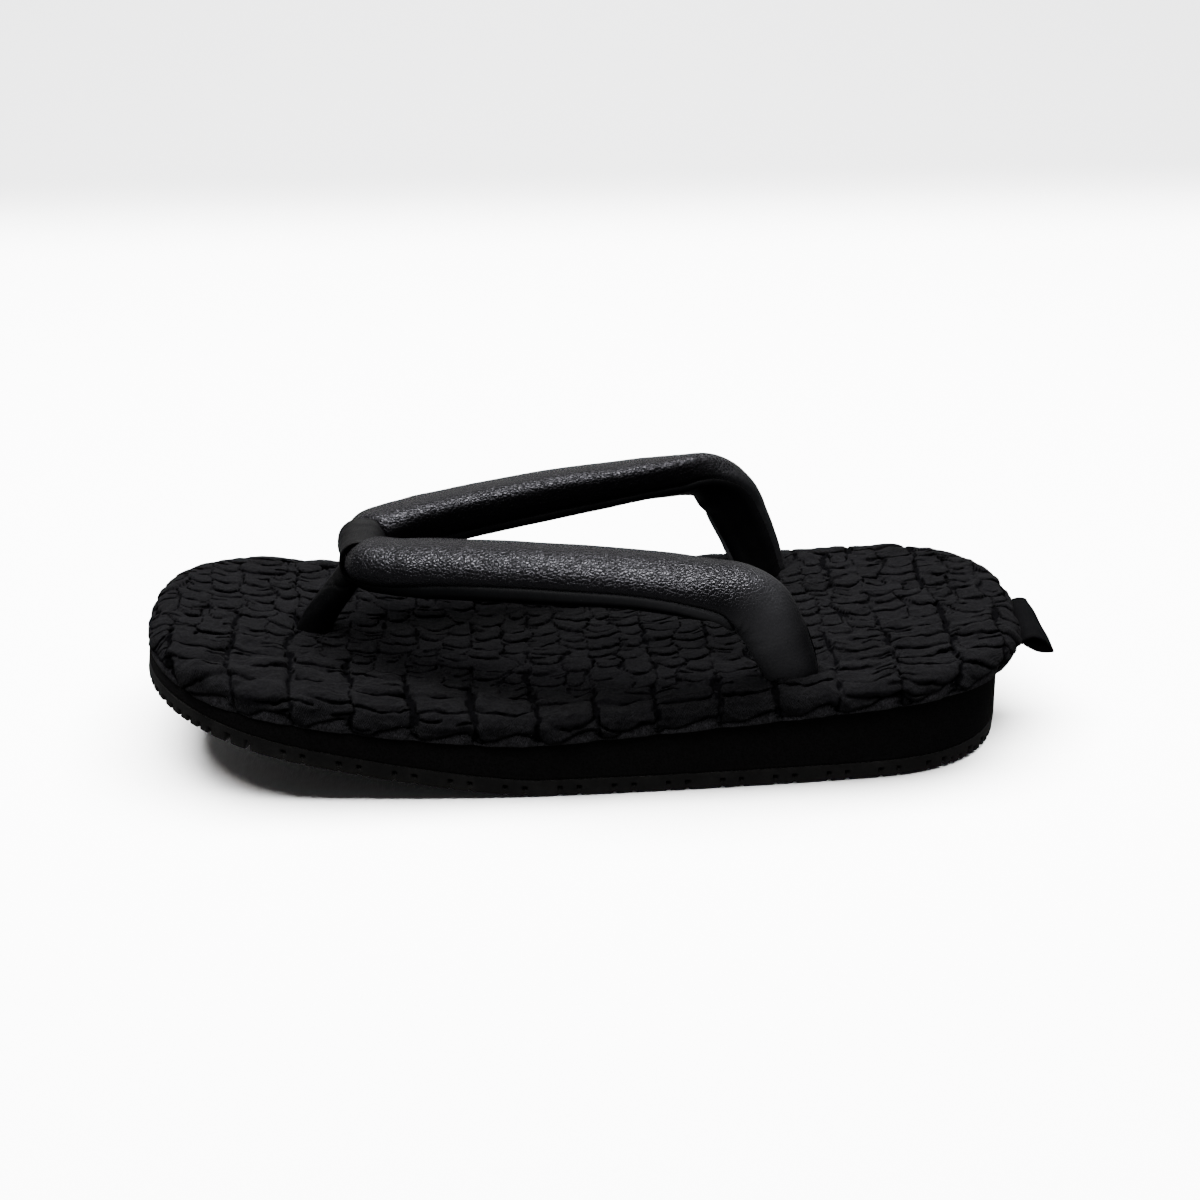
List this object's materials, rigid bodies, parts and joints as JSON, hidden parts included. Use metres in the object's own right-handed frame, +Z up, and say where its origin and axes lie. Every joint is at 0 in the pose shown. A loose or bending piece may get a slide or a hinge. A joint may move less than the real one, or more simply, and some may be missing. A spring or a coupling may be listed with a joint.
{
  "type": "setta sandal",
  "caption": "Flat thonged sandal with a padded cloth footbed on a foam wedge, a thin lugged rubber outsole and one padded strap held by a front thong.",
  "frame": {"origin": "centre of the whole sandal's box, on the floor plane under the sole", "axes": "+X towards the heel, +Y across the sole, +Z up"},
  "size_m": [0.2804, 0.11, 0.0711],
  "materials": {
    "outsole": "matte dark grey tread rubber",
    "midsole": "very matte black foam",
    "footbed": "matte charcoal shirred cloth",
    "strap": "satin pebbled dark grey leather",
    "front_thong": "smooth matte black leather",
    "heel_loop": "tight woven ribbon"
  },
  "bodies": {
    "root": {"outsole": "outsole", "midsole": "midsole", "footbed": "footbed", "strap": "strap", "front_thong": "front_thong", "heel_loop": "heel_loop"}
  },
  "joints": []
}
